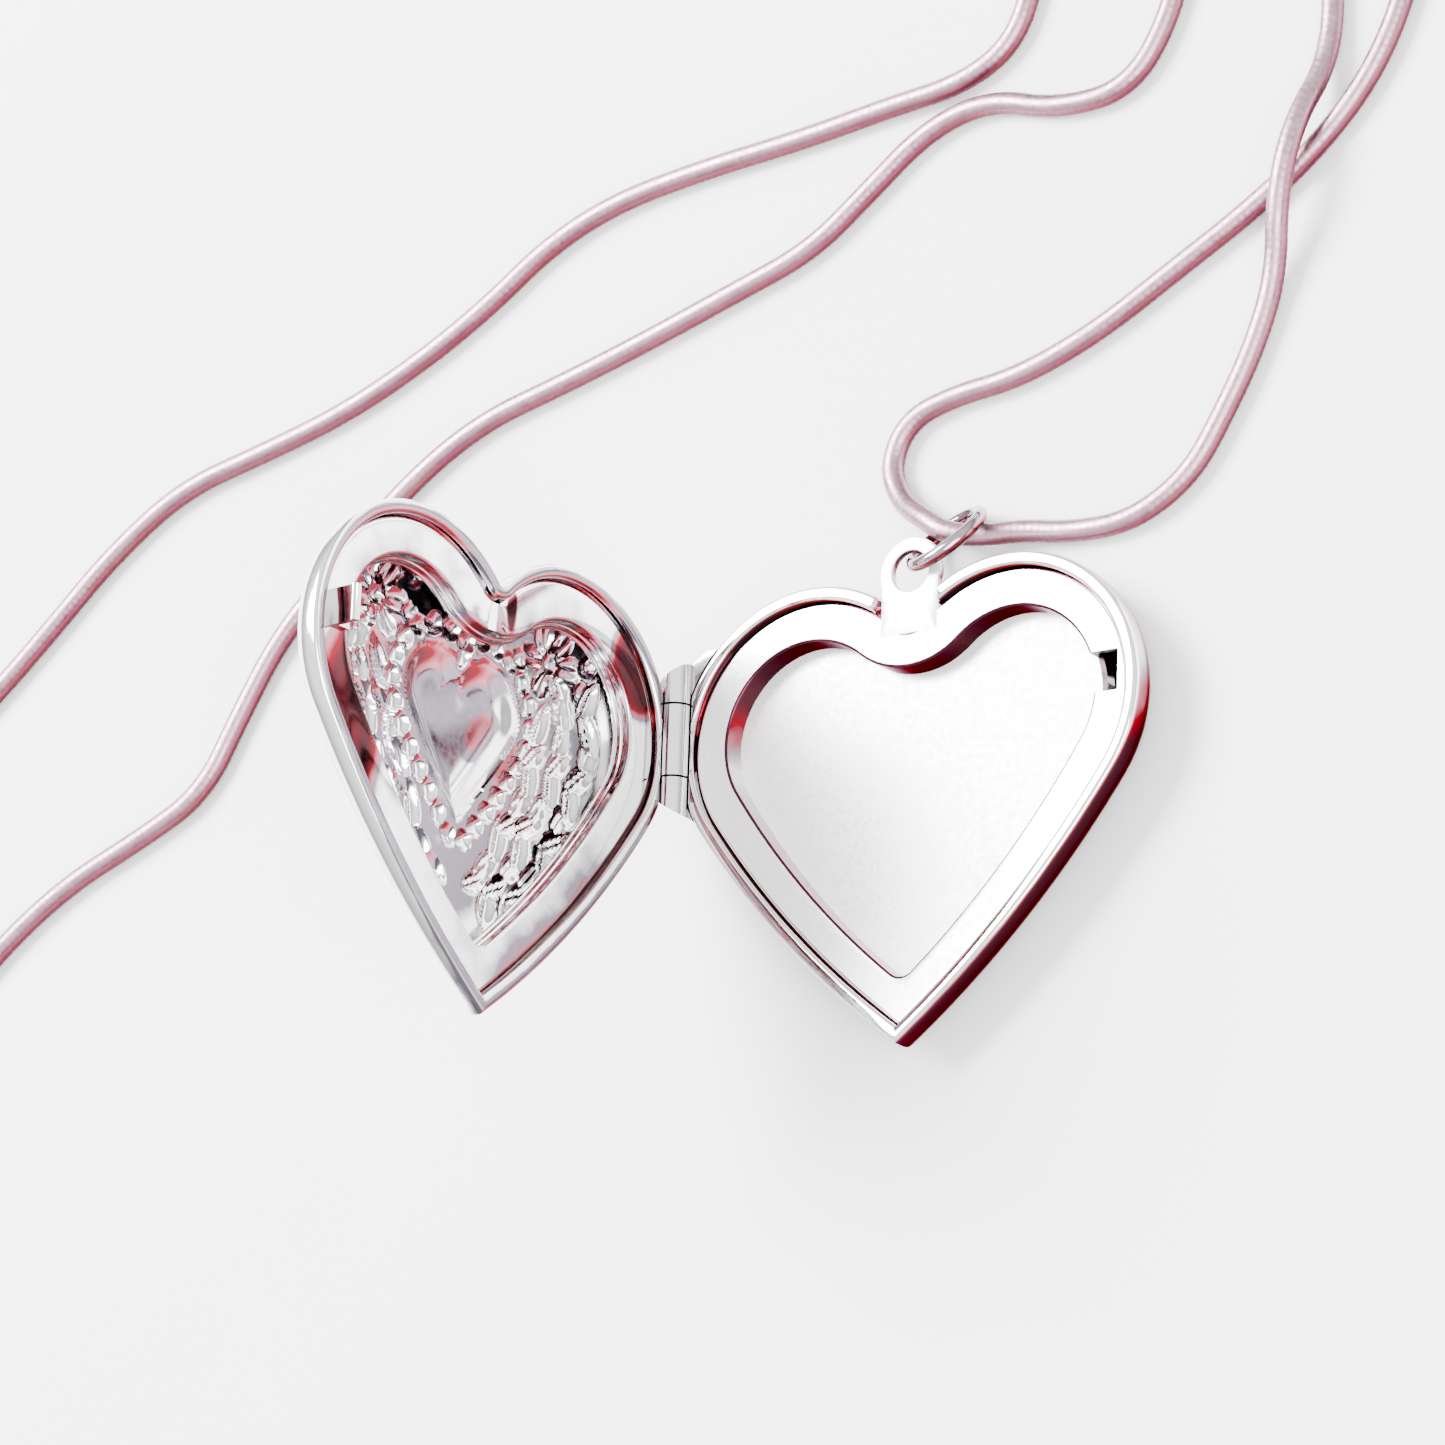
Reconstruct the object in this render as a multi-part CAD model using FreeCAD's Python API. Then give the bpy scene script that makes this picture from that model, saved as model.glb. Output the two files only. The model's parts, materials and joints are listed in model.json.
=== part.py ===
import FreeCAD, Part

import math
import os

# Heart locket on a snake chain, lying on its flat back with the cover standing open.
# Millimetres. The flat back rests on z = 0 with the origin under the middle of the two lobes;
# +Y runs from the heart's point to its cleft, +X from the hinge to the catch, +Z is up.

V = FreeCAD.Vector

# ---- driving dimensions ------------------------------------------------------------------
# Heart outline at the lip: lobe arcs, sides that curve in to the point, a filleted cleft
LOBE_R = 7.98          # radius of each lobe
LOBE_X = 6.02          # lobe centres stand this far either side of the middle
POINT_Y = -17.44       # the heart's point
LOBE_END = 0.613       # angle below the horizontal where a lobe meets its side, radians
CLEFT_R = 0.37         # fillet between the lobes
LIP_HEART = (LOBE_R, LOBE_X, POINT_Y, LOBE_END, CLEFT_R, 0.0, 0.0)
# Heart outline of the picture window, with its own softer cleft and a rounded point
WINDOW_HEART = (4.99, 6.24, -14.20, 0.579, 4.69, 0.10, 0.90)

SHEET = 0.45           # wall of the stamped shells
BACK_DEPTH = 3.40      # flat back to lip
COVER_DEPTH = 2.90     # lip to the cover's face, without its embossing
EDGE_INSET = 4.00      # how far the rounded edge draws in
EDGE_RISE = 2.45       # height of the rounded edge
EDGE_STEPS = 5         # sections of the rounded edge
LIP_WIDTH = 0.75       # rolled lip
LIP_HEIGHT = 0.35
PARTING = 0.06         # gap between the two lips when shut

FRAME_DROP = 0.42      # frame plate below the lip
FRAME_T = 0.38         # frame sheet
FRAME_EDGE = 0.55      # width of the frame's sloped margin
BACK_FIT = 0.02        # frame's edge to the shell's wall
COVER_FIT = 0.14
COVER_WALL_END = 1.45  # foot of the cover frame's wall, below the lip
WINDOW_DEPTH = 1.35    # picture recess below the frame plate
WINDOW_WALL = 0.30
BACKING_T = 0.30
BOSS_HEIGHT = 0.75     # embossed heart on the cover's face
BOSS_R = 3.05          # lobe radius of that embossed heart

# Hinge: three knuckles on one pin, its axis in the parting plane
HINGE_X = -14.30
KNUCKLE_R = 0.95
KNUCKLE_SLACK = 0.12   # knuckle to the other half's notch
PIN_R = 0.40
PIN_FIT = 0.03
MIDDLE_Y = (-1.40, 2.50)
UPPER_Y = (2.62, 5.45)
LOWER_Y = (-4.25, -1.52)
OPEN_ANGLE = 94.24     # cover angle from shut, as it stands

# Catch: springy tongue on the cover, slot in the back frame
CATCH_Y = 0.75
SLOT_X = 12.62
SLOT_WIDTH = 2.20
TONGUE_WIDTH = 1.90
TONGUE_T = 0.30
TONGUE_REACH = 1.15    # below the back's lip when shut

# Tab for the jump ring
TAB_Y = 8.05
TAB_R = 1.87
TAB_HOLE_R = 1.12
TAB_NECK = 1.75

# Jump ring through the tab, leaning outward over the chain
RING_R = 2.20          # to the middle of the wire
RING_WIRE_R = 0.375
RING_NORMAL = V(-0.293, 0.669, 0.679)
RING_REACH = V(0.741, 0.607, -0.278)     # from the tab's hole to the ring's centre
RING_AT_TAB = V(0.05, 8.45, 2.79)

# Chain and the fastener on its two ends
CHAIN_R = 0.60
LINE_Z = 1.50          # height of the fastener's middle line
FASTENER_AT = V(-86.8, 0.3, LINE_Z)
FASTENER_TURN = -92.0
CAP_R = 0.95
CAP_LENGTH = 3.20
CAP_BORE = 2.00
LOOP_R = 0.95
WIRE_R = 0.25
LINK_R = 1.45
CATCH_RING_R = 1.90
LINK_LEAN = 45.0
CATCH_RING_LEAN = 40.0
CLAW_R = 2.40
CLAW_HALF = 0.50
CLAW_T = 1.20
CLAW_ROOM = 0.90        # catch ring's wire from the claw's centre
LEVER_T = 0.60
LEVER_SLOT = 0.70
LEVER_TRAVEL = 14.0     # degrees, inward
PIVOT_OFFSET = V(-1.90, -1.35, 0)
PIVOT_R = 0.35


# Fastener modelled along +X from the first end cap's mouth, then laid in place
LOOP_A_X = CAP_LENGTH + LOOP_R - 0.15
LINK_X = LOOP_A_X + LINK_R
EYE_X = LINK_X + LINK_R
CLAW_X = EYE_X + 1.35 + CLAW_R + CLAW_HALF - 0.25
CATCH_RING_X = CLAW_X + CLAW_ROOM + CATCH_RING_R
LOOP_B_X = CATCH_RING_X + CATCH_RING_R
CAP_B_X = LOOP_B_X + LOOP_R - 0.15 + CAP_LENGTH


def on_line(x):
    """Point of the fastener's middle line, where it lies."""
    turn = math.radians(FASTENER_TURN)
    return tuple(FASTENER_AT + V(math.cos(turn), math.sin(turn), 0) * x)


# Chain's route: from one end cap, over the top, down to the ring, through it and back
ROUTE = [
    on_line(CAP_BORE), on_line(-1.8), (-85.7, 5.2, 1.1), (-82.6, 7.3, 0.62),
    (-78.2, 7.3, 0.62), (-73.6, 7.1, 0.62), (-69.0, 8.7, 0.62), (-64.8, 11.8, 0.62),
    (-60.6, 15.4, 0.62), (-56.6, 19.0, 0.62), (-51.6, 22.2, 0.62), (-45.8, 23.4, 0.62),
    (-40.0, 24.8, 0.62), (-34.6, 27.0, 0.62), (-30.0, 29.5, 0.62), (-26.2, 32.2, 0.62),
    (-21.6, 34.0, 0.62), (-15.4, 34.8, 0.62), (-9.2, 35.2, 0.62), (-3.6, 35.9, 0.62),
    (1.2, 36.3, 0.62), (4.3, 38.0, 0.62), (5.5, 41.6, 0.62), (6.8, 46.4, 0.62),
    (9.6, 50.9, 0.62), (14.4, 53.8, 0.62), (20.2, 54.2, 0.62), (25.4, 51.6, 0.62),
    (28.7, 47.2, 0.62), (29.5, 42.0, 0.62), (28.3, 37.0, 0.62), (26.3, 32.0, 0.62),
    (23.0, 28.3, 0.62), (18.9, 25.4, 0.62), (14.3, 22.9, 0.62), (9.8, 20.4, 0.62),
    (5.0, 18.7, 0.62), (1.0, 18.4, 0.62), (-1.9, 17.5, 0.62), (-3.0, 15.0, 0.62),
    (-1.9, 12.7, 0.90), (-0.1, 11.4, 1.70), (1.5, 10.2, 1.85), (3.5, 9.95, 1.25),
    (5.6, 10.05, 0.75), (8.4, 9.5, 0.62), (12.0, 9.5, 0.62), (15.4, 11.4, 0.62),
    (17.4, 14.6, 0.62), (19.1, 17.8, 0.62), (20.4, 21.4, 0.75), (21.3, 25.2, 2.30),
    (22.2, 28.9, 2.30), (23.4, 32.6, 0.75), (23.7, 36.8, 0.62), (23.2, 41.2, 0.62),
    (20.8, 44.6, 0.62), (17.3, 44.9, 0.62), (14.8, 42.0, 0.62), (14.0, 37.6, 0.62),
    (11.6, 33.8, 0.62), (7.2, 33.5, 0.62), (2.8, 35.0, 0.62), (-1.2, 34.0, 0.62),
    (-4.8, 31.2, 0.62), (-8.4, 28.5, 0.62), (-13.4, 27.0, 0.62), (-19.0, 25.3, 0.62),
    (-24.6, 23.8, 0.62), (-30.2, 22.5, 0.62), (-35.0, 19.8, 0.62), (-39.4, 15.9, 0.62),
    (-43.6, 12.2, 0.62), (-46.3, 7.8, 0.62), (-48.7, 3.4, 0.62), (-53.2, 1.3, 0.62),
    (-58.3, -0.7, 0.62), (-63.0, -3.8, 0.62), (-67.0, -7.6, 0.62), (-70.8, -11.8, 0.62),
    (-74.0, -16.6, 0.62), (-76.8, -21.4, 0.62), (-80.2, -25.0, 0.62), (-84.2, -26.2, 0.62),
    (-87.0, -24.3, 1.0), on_line(CAP_B_X + 2.3), on_line(CAP_B_X - CAP_BORE),
]


# ---- heart outlines ------------------------------------------------------------------------
def arc(centre, radius, start, end, z):
    """Arc edge about a plan centre, angles in radians."""
    points = []
    for angle in (start, (start + end) / 2, end):
        points.append(V(centre[0] + radius * math.cos(angle), centre[1] + radius * math.sin(angle), z))
    return Part.Arc(*points).toShape()


def heart_wire(heart, inset, z):
    """A heart drawn in by inset, as tangent arcs at height z."""
    lobe, across, point_y, lobe_end, cleft, shift, point_r = heart
    point_r = max(point_r - inset, 0.0)
    cleft_y = math.sqrt((lobe + cleft) ** 2 - across ** 2)
    out = (math.cos(lobe_end), -math.sin(lobe_end))
    run = (-across - lobe * out[0], point_y - lobe * out[1])
    side = -(run[0] ** 2 + run[1] ** 2) / (2 * (run[0] * out[0] + run[1] * out[1]))
    side_x = across + (lobe - side) * out[0]
    side_y = (lobe - side) * out[1]
    side_r = side - inset
    tip_y = side_y - math.sqrt((side_r - point_r) ** 2 - side_x ** 2)
    meet = math.atan2(cleft_y, -across)
    tip = math.atan2(tip_y - side_y, -side_x)
    right = [
        arc((across, shift), lobe - inset, meet, -lobe_end, z),
        arc((side_x, side_y + shift), side_r, -lobe_end, tip, z),
    ]
    left = [
        arc((-side_x, side_y + shift), side_r, math.pi - tip, math.pi + lobe_end, z),
        arc((-across, shift), lobe - inset, math.pi + lobe_end, math.pi - meet, z),
    ]
    ends = [arc((0, cleft_y + shift), cleft + inset, meet - math.pi, -meet, z)]
    if point_r:
        ends.append(arc((0, tip_y + shift), point_r, tip, -math.pi - tip, z))
    return Part.Wire(Part.__sortEdges__(right + left + ends))


def heart_prism(heart, inset, low, high):
    """Straight-sided heart block."""
    return Part.Face(heart_wire(heart, inset, low)).extrude(V(0, 0, high - low))


def heart_loft(heart, sections):
    """Heart block through (inset, z) sections."""
    wires = [heart_wire(heart, inset, z) for inset, z in sections]
    return Part.makeLoft(wires, True, True)


def pan(depth, wall):
    """Solid of a round-edged heart pan, its flat at z = 0, drawn in by the wall all over."""
    sections = []
    for step in range(EDGE_STEPS + 1):
        angle = math.pi / 2 * step / EDGE_STEPS
        inset = wall + (EDGE_INSET - wall * 0.4) * (1 - math.sin(angle))
        sections.append((inset, wall + (EDGE_RISE - wall) * (1 - math.cos(angle))))
    sections.append((wall, depth))
    return heart_loft(LIP_HEART, sections)


def shell(depth):
    """Stamped pan with a rolled lip, open at the top."""
    lip_low = depth - LIP_HEIGHT
    hollow = pan(lip_low, SHEET)
    mouth = heart_prism(LIP_HEART, LIP_WIDTH, lip_low - 0.05, depth + 1)
    return pan(depth, 0).cut(hollow).cut(mouth)


def frame_plate(top, slack):
    """Frame sheet with a margin that slopes down to meet the shell's wall."""
    fit = SHEET + slack
    low = heart_prism(LIP_HEART, fit, top - FRAME_T, top - FRAME_T / 2)
    slope = [(fit, top - FRAME_T / 2), (fit + FRAME_EDGE, top)]
    return low.fuse(heart_loft(LIP_HEART, slope))


def box(x, y, z):
    """Box between pairs of coordinates."""
    size = (x[1] - x[0], y[1] - y[0], z[1] - z[0])
    return Part.makeBox(*size, V(x[0], y[0], z[0]))


# ---- hinge ---------------------------------------------------------------------------------
def hinge_rod(radius, span):
    """Cylinder on the hinge axis over a span of y."""
    return Part.makeCylinder(radius, span[1] - span[0], V(HINGE_X, span[0], BACK_DEPTH), V(0, 1, 0))


def knuckle(span, side):
    """Knuckle with its web: side -1 hangs below the parting plane, +1 stands above it."""
    low = BACK_DEPTH + min(side * KNUCKLE_R, side * PARTING / 2)
    high = BACK_DEPTH + max(side * KNUCKLE_R, side * PARTING / 2)
    web = box((HINGE_X, HINGE_X + 3.2), span, (low, high))
    web = web.cut(heart_prism(LIP_HEART, 0.0, -1, 9))
    return hinge_rod(KNUCKLE_R, span).fuse(web).cut(hinge_rod(PIN_R + PIN_FIT, (-9, 9)))


def trim_wedge(inner_y, outer_y):
    """Block beyond the slanted end of an outer knuckle, which follows the heart's outline."""
    inner = V(HINGE_X - KNUCKLE_R - 0.05, inner_y, 0)
    outer = V(HINGE_X + 1.9, outer_y, 0)
    away = math.copysign(9, outer_y)
    corners = [inner, outer, outer + V(3, 0, 0), outer + V(3, away, 0), inner + V(-3, away, 0)]
    corners += [inner + V(-3, 0, 0), inner]
    return Part.Face(Part.makePolygon(corners)).extrude(V(0, 0, 9))


def hinge_notch(own, other):
    """Room for the hinge in a half: its own knuckles fit, the other half's run clear."""
    shape = hinge_rod(KNUCKLE_R, own[0])
    for span in own[1:]:
        shape = shape.fuse(hinge_rod(KNUCKLE_R, span))
    for low, high in other:
        shape = shape.fuse(hinge_rod(KNUCKLE_R + KNUCKLE_SLACK, (low - 0.06, high + 0.06)))
    return shape


BACK_NOTCH = hinge_notch([UPPER_Y, LOWER_Y], [MIDDLE_Y])
COVER_NOTCH = hinge_notch([MIDDLE_Y], [UPPER_Y, LOWER_Y])


def hinge_knuckle_upper():
    return knuckle(UPPER_Y, -1).cut(trim_wedge(UPPER_Y[0] + 0.9, UPPER_Y[1]))


def hinge_knuckle_lower():
    return knuckle(LOWER_Y, -1).cut(trim_wedge(LOWER_Y[1] - 0.9, LOWER_Y[0]))


def hinge_knuckle_middle():
    return open_cover(knuckle(MIDDLE_Y, 1))


def hinge_pin():
    return hinge_rod(PIN_R, (LOWER_Y[1] - 1.0, UPPER_Y[0] + 1.0))


# ---- back half -------------------------------------------------------------------------------
BACK_FRAME_TOP = BACK_DEPTH - FRAME_DROP


def tab_gap():
    """Gap in the back's wall at the cleft, where the frame's tab passes out."""
    half = TAB_NECK + 0.15
    return box((-half, half), (4.3, 8.2), (BACK_FRAME_TOP - FRAME_T - 0.02, BACK_DEPTH + 1))


def back_shell():
    return shell(BACK_DEPTH).cut(tab_gap()).cut(BACK_NOTCH)


def tab():
    """Ear that carries the jump ring, in the plane of the frame plate."""
    low = BACK_FRAME_TOP - FRAME_T
    ear = Part.makeCylinder(TAB_R, FRAME_T, V(0, TAB_Y, low))
    neck = box((-TAB_NECK, TAB_NECK), (4.4, TAB_Y), (low, BACK_FRAME_TOP))
    hole = Part.makeCylinder(TAB_HOLE_R, 3, V(0, TAB_Y, low - 1))
    return ear.fuse(neck).cut(hole)


def catch_slot():
    """Slot from the picture window's edge, which takes the tongue."""
    half = SLOT_WIDTH / 2
    return box((10.2, SLOT_X), (CATCH_Y - half, CATCH_Y + half), (-1, 9))


def back_frame():
    low = BACK_FRAME_TOP - WINDOW_DEPTH
    wall = heart_prism(WINDOW_HEART, -WINDOW_WALL, low - BACKING_T, BACK_FRAME_TOP - FRAME_T / 2)
    shape = frame_plate(BACK_FRAME_TOP, BACK_FIT).fuse(wall).fuse(tab())
    shape = shape.cut(heart_prism(WINDOW_HEART, 0, -1, 9))
    shape = shape.cut(catch_slot().cut(box((0, SLOT_X - 1.1), (-9, 9), (-1, BACK_FRAME_TOP - 0.9))))
    return shape.cut(BACK_NOTCH).removeSplitter()


def photo_backing():
    """Plate pressed into the foot of the picture window's wall."""
    top = BACK_FRAME_TOP - WINDOW_DEPTH
    return heart_prism(WINDOW_HEART, 0, top - BACKING_T, top)


# ---- cover -----------------------------------------------------------------------------------
COVER_LIP = BACK_DEPTH + PARTING


def open_cover(shape):
    """Turn a piece modelled with the locket shut to where the open cover stands."""
    return shape.rotate(V(HINGE_X, 0, BACK_DEPTH), V(0, -1, 0), OPEN_ANGLE)


def shut_place(shape):
    """Turn a pan over and set its lip on the parting plane."""
    shape = shape.mirror(V(0, 0, 0), V(0, 0, 1))
    shape.translate(V(0, 0, COVER_LIP + COVER_DEPTH))
    return shape


def emboss(inset, low, high):
    """Pillow of the heart embossed on the cover's face, from low to high."""
    heart = (BOSS_R, 2.35, -7.0, 0.60, 0.60, -1.3, 0.0)
    rise = high - low
    return heart_loft(heart, [(inset, low), (inset + 0.5, low + rise * 0.7), (inset + 1.3, high)])


def cover_shell():
    """Cover pan with the heart pressed out of its face, raised outside and hollow inside."""
    raised = pan(COVER_DEPTH, 0).fuse(emboss(0, 0.02, -BOSS_HEIGHT))
    lip_low = COVER_DEPTH - LIP_HEIGHT
    hollow = pan(lip_low, SHEET).fuse(emboss(0.35, SHEET + 0.02, SHEET - BOSS_HEIGHT))
    mouth = heart_prism(LIP_HEART, LIP_WIDTH, lip_low - 0.05, COVER_DEPTH + 1)
    shape = shut_place(raised.cut(hollow).cut(mouth))
    return open_cover(shape.cut(COVER_NOTCH))


def cover_frame():
    """Frame of the cover: plate and a short wall, open to the embossing behind it."""
    top = COVER_DEPTH - FRAME_DROP
    foot = COVER_DEPTH - COVER_WALL_END
    wall = heart_prism(WINDOW_HEART, -WINDOW_WALL, foot, top - FRAME_T / 2)
    shape = frame_plate(top, COVER_FIT).fuse(wall).cut(heart_prism(WINDOW_HEART, 0, -1, 9))
    return open_cover(shut_place(shape).cut(COVER_NOTCH).removeSplitter())


def catch_tongue():
    """Springy tongue standing on the cover's frame, with a rounded barb near its end."""
    y = (CATCH_Y - TONGUE_WIDTH / 2, CATCH_Y + TONGUE_WIDTH / 2)
    foot_z = COVER_LIP + FRAME_DROP
    end_z = BACK_DEPTH - TONGUE_REACH
    blade = box((SLOT_X - 0.22 - TONGUE_T, SLOT_X - 0.22), y, (end_z, foot_z))
    foot = box((SLOT_X - 1.30, SLOT_X - 0.22), y, (foot_z - 0.25, foot_z))
    barb = Part.makeCylinder(0.14, TONGUE_WIDTH, V(SLOT_X - 0.24, y[0], end_z + 0.2), V(0, 1, 0))
    return open_cover(blade.fuse(foot).fuse(barb))


# ---- jump ring and chain -----------------------------------------------------------------------
def jump_ring():
    reach = RING_REACH * (RING_R / RING_REACH.Length)
    return Part.makeTorus(RING_R, RING_WIRE_R, RING_AT_TAB + reach, RING_NORMAL)


def tube_path(points):
    """Straight runs joined by tangent arcs, with the radius of each arc and the path's length."""
    corners = [V(*point) for point in points]
    edges = []
    radii = []
    start = corners[0]
    for before, corner, after in zip(corners, corners[1:], corners[2:]):
        back = before - corner
        ahead = after - corner
        shorter = min(back.Length, ahead.Length)
        back.normalize()
        ahead.normalize()
        half_turn = (math.pi - back.getAngle(ahead)) / 2
        cut_back = 0.45 * shorter
        radii.append(cut_back / math.tan(half_turn))
        first = corner + back * cut_back
        last = corner + ahead * cut_back
        inward = back + ahead
        inward.normalize()
        to_middle = radii[-1] / math.cos(half_turn) - radii[-1]
        edges.append(Part.LineSegment(start, first).toShape())
        edges.append(Part.Arc(first, corner + inward * to_middle, last).toShape())
        start = last
    edges.append(Part.LineSegment(start, corners[-1]).toShape())
    wire = Part.Wire(edges)
    return wire, radii, sum(edge.Length for edge in edges)


def chain():
    """Plain round tube on the chain's real route."""
    wire, radii, length = tube_path(ROUTE)
    start = V(*ROUTE[0])
    circle = Part.Wire(Part.makeCircle(CHAIN_R, start, V(*ROUTE[1]) - start))
    tube = wire.makePipeShell([circle], True, False)
    expected = math.pi * CHAIN_R ** 2 * length
    print("chain length", round(length, 1), "volume / expected", round(tube.Volume / expected, 4))
    print("chain radii", " ".join(f"{radius:.1f}" for radius in radii), "least", round(min(radii), 2))
    return tube


# ---- fastener ----------------------------------------------------------------------------------
def lay(shape):
    """Lay a piece of the fastener where it rests beside the locket."""
    shape.rotate(V(0, 0, 0), V(0, 0, 1), FASTENER_TURN)
    shape.translate(FASTENER_AT)
    return shape


def end_cap(mouth_x, loop_x):
    """Crimped barrel on the chain's end with a loop standing on edge."""
    toward = math.copysign(1, loop_x - mouth_x)
    along = V(toward, 0, 0)
    barrel = Part.makeCylinder(CAP_R, CAP_LENGTH, V(mouth_x, 0, 0), along)
    bore = Part.makeCylinder(CHAIN_R + 0.02, CAP_BORE, V(mouth_x, 0, 0), along)
    loop = Part.makeTorus(LOOP_R, WIRE_R, V(loop_x, 0, 0), V(0, 1, 0))
    return barrel.fuse(loop).cut(bore)


def end_cap_a():
    return lay(end_cap(0, LOOP_A_X))


def end_cap_b():
    return lay(end_cap(CAP_B_X, LOOP_B_X))


def leaning_ring(radius, x, lean):
    """Closed ring leaning across the line, so that it links an upright loop and a flat eye."""
    lean = math.radians(lean)
    return lay(Part.makeTorus(radius, WIRE_R, V(x, 0, 0), V(0, math.sin(lean), math.cos(lean))))


def link_ring():
    return leaning_ring(LINK_R, LINK_X, LINK_LEAN)


def catch_ring():
    return leaning_ring(CATCH_RING_R, CATCH_RING_X, CATCH_RING_LEAN)


def sector(start, end, thickness, half_width):
    """Part of a flat ring about the claw's centre, between two angles in degrees."""
    outer = Part.makeCylinder(CLAW_R + half_width, thickness, V(0, 0, -thickness / 2), V(0, 0, 1), end - start)
    inner = Part.makeCylinder(CLAW_R - half_width, thickness + 2, V(0, 0, -thickness / 2 - 1))
    shape = outer.cut(inner)
    shape.rotate(V(0, 0, 0), V(0, 0, 1), start)
    shape.translate(V(CLAW_X, 0, 0))
    return shape


def disc(x, y, radius, thickness):
    """Upright disc centred on the fastener's middle plane."""
    return Part.makeCylinder(radius, thickness, V(x, y, -thickness / 2))


PIVOT_X = CLAW_X + PIVOT_OFFSET.x
PIVOT_Y = PIVOT_OFFSET.y


def clasp_body():
    """Claw with its fixed jaw, the eye for the link ring and a slot for the lever."""
    jaw = sector(-56, 205, CLAW_T, CLAW_HALF)
    eye = disc(EYE_X, 0, 1.40, 0.60).cut(disc(EYE_X, 0, 0.80, 3))
    palm = disc(PIVOT_X, PIVOT_Y, 1.15, CLAW_T)
    heel = box((EYE_X + 1.15, CLAW_X - 1.95), (-1.5, 0.9), (-CLAW_T / 2, CLAW_T / 2))
    slot = disc(PIVOT_X, PIVOT_Y, 1.25, LEVER_SLOT)
    for step in range(5):
        swept = lever_outline(0.12, LEVER_SLOT)
        slot = slot.fuse(swept.rotate(V(PIVOT_X, PIVOT_Y, 0), V(0, 0, 1), LEVER_TRAVEL * step / 4))
    pocket = disc(PIVOT_X, PIVOT_Y, 0.90, LEVER_SLOT + 0.20)
    shape = jaw.fuse(palm).fuse(heel).cut(sector(-180, -57, CLAW_T + 1, CLAW_HALF - 0.1))
    shape = shape.fuse(palm).fuse(eye)
    return lay(shape.cut(slot).cut(pocket).cut(disc(PIVOT_X, PIVOT_Y, PIVOT_R, 3)))


def lever_outline(grow, thickness):
    """Gate arc, its hub and the thumb nub."""
    gate = sector(-130, -59, thickness, CLAW_HALF - 0.05 + grow)
    hub = disc(PIVOT_X, PIVOT_Y, 0.80 + grow, thickness)
    half = 0.40 + grow
    z = (-thickness / 2, thickness / 2)
    nub = box((PIVOT_X - half, PIVOT_X + half), (PIVOT_Y - 1.9 - grow, PIVOT_Y), z)
    return gate.fuse(hub).fuse(nub)


def clasp_lever():
    bore = disc(PIVOT_X, PIVOT_Y, PIVOT_R + 0.03, 3)
    return lay(lever_outline(0, LEVER_T).cut(bore))


def clasp_pivot():
    return lay(disc(PIVOT_X, PIVOT_Y, PIVOT_R, CLAW_T))


def clasp_spring():
    """Flat coil round the pivot, in the pocket under the lever."""
    low = -(LEVER_SLOT + 0.20) / 2 + 0.01
    return lay(Part.makeTorus(0.65, 0.06, V(PIVOT_X, PIVOT_Y, low + 0.05), V(0, 0, 1)))


NODES = [
    back_shell, back_frame, photo_backing, hinge_knuckle_upper, hinge_knuckle_lower, hinge_pin,
    cover_shell, cover_frame, catch_tongue, hinge_knuckle_middle, jump_ring, chain,
    end_cap_a, link_ring, clasp_body, clasp_lever, clasp_pivot, clasp_spring, catch_ring, end_cap_b,
]

os.makedirs("parts", exist_ok=True)
for make in NODES:
    solid = make()
    solid.exportStep(f"parts/{make.__name__}.step")
    size = solid.BoundBox
    print(make.__name__, solid.isValid(), len(solid.Solids), round(solid.Volume, 3),
          [round(value, 2) for value in (size.XMin, size.XMax, size.YMin, size.YMax, size.ZMin, size.ZMax)])
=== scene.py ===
import json
import math

import bmesh
import bpy
import numpy as np
from mathutils import Matrix, Vector


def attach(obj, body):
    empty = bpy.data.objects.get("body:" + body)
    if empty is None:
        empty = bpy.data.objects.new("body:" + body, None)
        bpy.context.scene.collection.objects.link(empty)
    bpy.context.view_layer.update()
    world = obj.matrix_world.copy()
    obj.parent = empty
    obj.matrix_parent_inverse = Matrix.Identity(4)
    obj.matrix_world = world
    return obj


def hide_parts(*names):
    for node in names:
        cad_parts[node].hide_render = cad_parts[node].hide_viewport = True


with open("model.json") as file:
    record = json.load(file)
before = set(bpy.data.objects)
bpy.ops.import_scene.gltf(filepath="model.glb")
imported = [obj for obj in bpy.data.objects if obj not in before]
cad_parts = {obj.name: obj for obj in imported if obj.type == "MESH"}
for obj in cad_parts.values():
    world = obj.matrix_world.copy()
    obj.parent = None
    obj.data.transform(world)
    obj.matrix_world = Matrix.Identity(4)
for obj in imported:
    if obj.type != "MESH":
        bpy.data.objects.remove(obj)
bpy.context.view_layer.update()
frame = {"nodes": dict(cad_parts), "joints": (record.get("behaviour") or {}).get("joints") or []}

# Heart locket on a snake chain. The CAD frame gives every place; lengths below are in
# millimetres and MM turns them into Blender's metres.
MM = 0.001

# Heart outlines: lobe radius, lobe offset, point, angle where a lobe meets its side, radians,
# cleft fillet, shift along y, radius of the point
LIP_HEART = (7.98, 6.02, -17.44, 0.613, 0.37, 0.0, 0.0)
BACK_DEPTH = 3.40
COVER_DEPTH = 2.90
PARTING = 0.06
SHEET = 0.45
EDGE_INSET = 4.00
EDGE_RISE = 2.45

HINGE = next(joint for joint in frame["joints"] if joint["name"] == "cover_hinge")
HINGE_X = HINGE["pos_m"][0] / MM
OPEN_ANGLE = math.radians(-HINGE["range_deg"][0])


# ---- camera --------------------------------------------------------------------------------
EYE = Vector((160.2, -93.7, 252.15)) * MM
AIM = Vector((-13.6, 2.6, 0.0)) * MM
ROLL = math.radians(-64.5)
LENS = 149.5


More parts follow.
